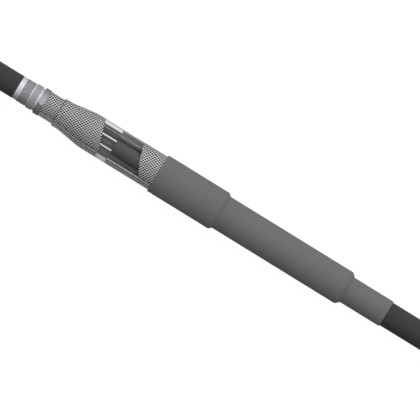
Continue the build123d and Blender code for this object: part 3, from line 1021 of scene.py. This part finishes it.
def inner_face():
    """Strands on the inner face of the mesh, seen past the cores on the upper side."""
    rows = Builder()
    hoops = Builder()
    start = NOTCH_END + 0.4 * MM
    stop = -97 * MM
    step = 1.2 * MM
    half_width = 0.8 * MM
    x = np.arange(start, stop, step)
    add_rows(rows, x, INNER_ROWS, -MESH_WALL - SEAT, half_width)
    add_hoops(hoops, x, *INNER_HOOPS, -MESH_WALL)
    return rows, hoops


def cut_edges():
    """Strands along the level edges of the window and of its notch."""
    made = Builder()
    y = BODY_R - 0.2 * MM
    z = 0.1 * MM
    half_width = 0.7 * MM
    stations = 12
    sides = 8
    window = [border_x(border, y) for border in (WINDOW_LEFT, WINDOW_RIGHT)]
    for edge_y, (start, stop) in ((y, window), (-y, (NOTCH_START, NOTCH_END))):
        points = points_at(np.linspace(start, stop, stations), edge_y, z)
        upward = np.full_like(points, (0, 0, 1))
        made.add(*tube(points, half_width, HOOP_HALF_THICKNESS, sides, upward))
    return made


def window_wire(wire):
    """Straight wire of the mesh that still crosses the window."""
    tuck = 4 * MM
    stations = 40
    start = border_x(WINDOW_LEFT, WINDOW_WIRE_Y) - tuck
    stop = border_x(WINDOW_RIGHT, WINDOW_WIRE_Y) + tuck
    r = BODY_R - MESH_WALL / 2
    z = math.sqrt(r**2 - WINDOW_WIRE_Y**2)
    points = points_at(np.linspace(start, stop, stations), WINDOW_WIRE_Y, z)
    made = Builder()
    made.add(*tube(points, wire / 2, wire / 2, WIRE_SIDES))
    return made


def sheet_faces(columns, rows):
    """Faces of a closed thin sheet: outer and inner grids, joined along their rims."""
    inner = columns * rows
    faces = []
    for c in range(columns - 1):
        for r in range(rows - 1):
            a = c * rows + r
            quad = (a, a + 1, a + rows + 1, a + rows)
            faces.append(quad)
            faces.append(tuple(i + inner for i in reversed(quad)))
    for c in range(columns - 1):
        for r in (0, rows - 1):
            a = c * rows + r
            rim = (a, a + rows, a + rows + inner, a + inner)
            faces.append(rim if r == 0 else rim[::-1])
    for r in range(rows - 1):
        for c in (0, columns - 1):
            a = c * rows + r
            rim = (a, a + inner, a + 1 + inner, a + 1)
            faces.append(rim if c == 0 else rim[::-1])
    return faces


def sheet_radius(x):
    """Outer radius of the mesh at x, from its first station to its last."""
    if x < TAIL_X[0]:
        return float(mesh_radius(x))
    return float(np.interp(x, TAIL_X, TAIL_RADII))


def add_sheet(made, station_lists, turns):
    """Adds a closed sheet: at each turn round the joint, its own list of x stations."""
    rows = len(turns)
    columns = len(station_lists[0])
    verts = []
    for depth in (UNDER_DEPTH, MESH_WALL):
        for c in range(columns):
            for stations, turn in zip(station_lists, turns):
                x = stations[c]
                r = sheet_radius(x) - depth
                verts.append((x, r * math.sin(turn), r * math.cos(turn)))
    made.add(verts, sheet_faces(columns, rows))


def turns_between(first, last):
    """Turns round the joint, in radians, between two angles towards the lower side."""
    return np.radians(-np.linspace(first, last, int((last - first) / UNDER_STEP) + 2))


def under_turn():
    """Closed turn of the mesh that lies under the strands, open at the window."""
    made = Builder()
    cone_stations = 12
    cone = np.linspace(CONE_START, CONE_END + CONE_EASE, cone_stations)
    head = [MESH_START, STEP_X, STEP_X + 2 * STEP_RUN, *cone]
    back = turns_between(90, 270)
    window = turns_between(-90, WINDOW_FOOT)
    notch = turns_between(WINDOW_FOOT, 90)
    y = BODY_R * np.sin(window)
    add_sheet(made, [[*head, *TAIL_X]] * len(back), back)
    for turns, left, right in (
        (window, border_x(WINDOW_LEFT, y), border_x(WINDOW_RIGHT, y)),
        (notch, [NOTCH_START] * len(notch), [NOTCH_END] * len(notch)),
    ):
        add_sheet(made, [[*head, x] for x in left], turns)
        add_sheet(made, [[x, *TAIL_X] for x in right], turns)
    return made


class JOINT_OT_core_spacers(JointOperator):
    """Finish the white core spacers"""

    bl_idname = "joint.core_spacers"
    bl_label = "Core spacers"

    def execute(self, context):
        nylon = moulded_nylon(context.scene.finish_colours.spacer)
        finish_nodes(nylon, "left_core_spacer", "right_core_spacer")
        return {"FINISHED"}


class JOINT_OT_splices(JointOperator):
    """Finish the connectors, their bolts, the inner sleeves and their mastic"""

    bl_idname = "joint.splices"
    bl_label = "Splices"

    def execute(self, context):
        colours = context.scene.finish_colours
        mastic = butyl_mastic(colours.mastic)
        materials = (
            ("connector", machined_metal("tinned_bar", colours.connector)),
            ("shear_bolts", machined_metal("turned_brass", colours.bolts)),
            ("inner_sleeve", crosslinked_insulation("shrunk_inner_sleeve", colours.inner_sleeve)),
            ("sleeve_mastic", mastic),
        )
        for kind, material in materials:
            finish_nodes(material, *(f"{kind}_{core}" for core in CORES))
        finish_nodes(mastic, "void_filler")
        return {"FINISHED"}


class JOINT_OT_outer_sleeve(JointOperator):
    """Finish the outer sleeve"""

    bl_idname = "joint.outer_sleeve"
    bl_label = "Outer sleeve"

    def execute(self, context):
        colours = context.scene.finish_colours
        finish_nodes(shrunk_polyolefin(colours.outer_sleeve), "outer_sleeve")
        return {"FINISHED"}


class JOINT_OT_stage(JointOperator):
    """Set up the floor, the light and the camera"""

    bl_idname = "joint.stage"
    bl_label = "Stage"

    def execute(self, context):
        settings = context.scene.stage_sizes
        build_floor(settings)
        build_sky(context.scene, settings)
        build_lamp(settings)
        build_camera(context.scene, settings)
        context.scene.view_settings.view_transform = "Standard"
        return {"FINISHED"}


def pale_rays(tree, mirror_share):
    """1 for rays from the camera, and a share of 1 for rays off metal or through glass."""
    path = add_node(tree, "ShaderNodeLightPath").outputs
    mirrors = {0: path["Is Glossy Ray"], 1: path["Is Transmission Ray"]}
    mirror = add_node(tree, "ShaderNodeMath", links=mirrors, operation="MAXIMUM").outputs[0]
    share = add_node(tree, "ShaderNodeMath", {1: mirror_share}, {0: mirror}, operation="MULTIPLY")
    both = {0: path["Is Camera Ray"], 1: share.outputs[0]}
    return add_node(tree, "ShaderNodeMath", links=both, operation="MAXIMUM").outputs[0]


def build_floor(settings):
    """Pale floor just under the widest part of the joint; it keeps a soft shadow."""
    half = 6.0
    unlit_level = 0.94
    z = cad_box[0].z
    corners = [(-half, -half, z), (half, -half, z), (half, half, z), (-half, half, z)]
    mesh = bpy.data.meshes.new("floor")
    mesh.from_pydata(corners, [], [(0, 1, 2, 3)])
    floor = bpy.data.objects.new("floor", mesh)
    bpy.context.scene.collection.objects.link(floor)
    material = bpy.data.materials.new("painted_floor")
    tree = bare_tree(material)
    share = settings.shadow_share
    paint = add_node(tree, "ShaderNodeBsdfDiffuse", {"Color": (share, share, share, 1)})
    glow = add_node(tree, "ShaderNodeEmission", {"Color": (1, 1, 1, 1), "Strength": unlit_level})
    both = add_node(tree, "ShaderNodeAddShader", links={0: paint.outputs[0], 1: glow.outputs[0]})
    add_node(tree, "ShaderNodeOutputMaterial", links={"Surface": both.outputs[0]})
    mesh.materials.append(material)
    floor.visible_diffuse = False
    floor.visible_glossy = False
    floor.visible_transmission = False
    floor.visible_shadow = False


def build_sky(scene, settings):
    """Studio light from all round, brighter above and from +Y; white to the camera."""
    world = bpy.data.worlds.new("studio_sky")
    scene.world = world
    tree = bare_tree(world)
    tilt = math.radians(45)
    mirror_share = 0.15
    way = add_node(tree, "ShaderNodeTexCoord").outputs["Generated"]
    bright_way = {1: (0, math.sin(tilt), math.cos(tilt))}
    facing = add_node(tree, "ShaderNodeVectorMath", bright_way, {0: way}, operation="DOT_PRODUCT")
    slope = {1: settings.light_slope, 2: settings.light_level}
    height = {0: facing.outputs["Value"]}
    level = add_node(tree, "ShaderNodeMath", slope, height, operation="MULTIPLY_ADD").outputs[0]
    clipped = add_node(tree, "ShaderNodeMath", {1: 0.0}, {0: level}, operation="MAXIMUM")
    white = {"Color": (1, 1, 1, 1)}
    strength = {"Strength": clipped.outputs[0]}
    soft = add_node(tree, "ShaderNodeBackground", white, strength).outputs[0]
    plain = add_node(tree, "ShaderNodeBackground", {**white, "Strength": 1.0}).outputs[0]
    parts = {0: pale_rays(tree, mirror_share), 1: soft, 2: plain}
    mix = add_node(tree, "ShaderNodeMixShader", links=parts)
    add_node(tree, "ShaderNodeOutputWorld", links={"Surface": mix.outputs[0]})


def build_lamp(settings):
    """One large soft lamp on the bright side, which gives edges their definition."""
    lamp = bpy.data.lights.new("soft_lamp", "AREA")
    lamp.shape = "DISK"
    lamp.size = 1.2
    lamp.energy = settings.lamp_watts
    holder = bpy.data.objects.new("soft_lamp", lamp)
    bpy.context.scene.collection.objects.link(holder)
    holder.location = (0, 1.2, 1.2)
    holder.rotation_euler = Vector(holder.location).to_track_quat("Z", "Y").to_euler()


def build_camera(scene, settings):
    """Camera that looks straight down on the window, rolled as the picture is."""
    camera = bpy.data.cameras.new("camera")
    camera.lens = settings.lens
    sensor = 36.0
    camera.sensor_width = sensor
    camera.clip_end = 100
    holder = bpy.data.objects.new("camera", camera)
    scene.collection.objects.link(holder)
    distance = settings.width * settings.lens / sensor
    holder.location = Vector(settings.aim) + Vector((0, 0, distance))
    holder.rotation_euler = (0, 0, settings.roll)
    scene.camera = holder


GROUPS = {
    "mesh_sizes": MeshSizes,
    "wire_sizes": WireSizes,
    "finish_colours": FinishColours,
    "stage_sizes": StageSizes,
}

STEPS = (
    JOINT_OT_cable_layers,
    JOINT_OT_cores,
    JOINT_OT_armour_wraps,
    JOINT_OT_copper_mesh,
    JOINT_OT_core_spacers,
    JOINT_OT_splices,
    JOINT_OT_outer_sleeve,
    JOINT_OT_stage,
)


class JOINT_PT_dressing(bpy.types.Panel):
    """Lists the steps that dress the joint"""

    bl_idname = "JOINT_PT_dressing"
    bl_label = "Cable joint"
    bl_space_type = "VIEW_3D"
    bl_region_type = "UI"
    bl_category = "Cable Joint"

    def draw(self, context):
        layout = self.layout
        for group in GROUPS:
            settings = getattr(context.scene, group)
            box = layout.box()
            for name in settings.bl_rna.properties.keys():
                if name not in ("rna_type", "name"):
                    box.prop(settings, name)
        for step in STEPS:
            layout.operator(step.bl_idname)


def register():
    """Registers the sizes and colours, the steps and the panel."""
    for name, group in GROUPS.items():
        bpy.utils.register_class(group)
        setattr(bpy.types.Scene, name, bpy.props.PointerProperty(type=group))
    for step in STEPS:
        bpy.utils.register_class(step)
    bpy.utils.register_class(JOINT_PT_dressing)


def unregister():
    """Takes back all that register does."""
    bpy.utils.unregister_class(JOINT_PT_dressing)
    for step in reversed(STEPS):
        bpy.utils.unregister_class(step)
    for name, group in GROUPS.items():
        delattr(bpy.types.Scene, name)
        bpy.utils.unregister_class(group)


def main():
    """Registers the add-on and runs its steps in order."""
    register()
    for step in STEPS:
        area, call = step.bl_idname.split(".")
        getattr(getattr(bpy.ops, area), call)()


if __name__ == "__main__":
    main()
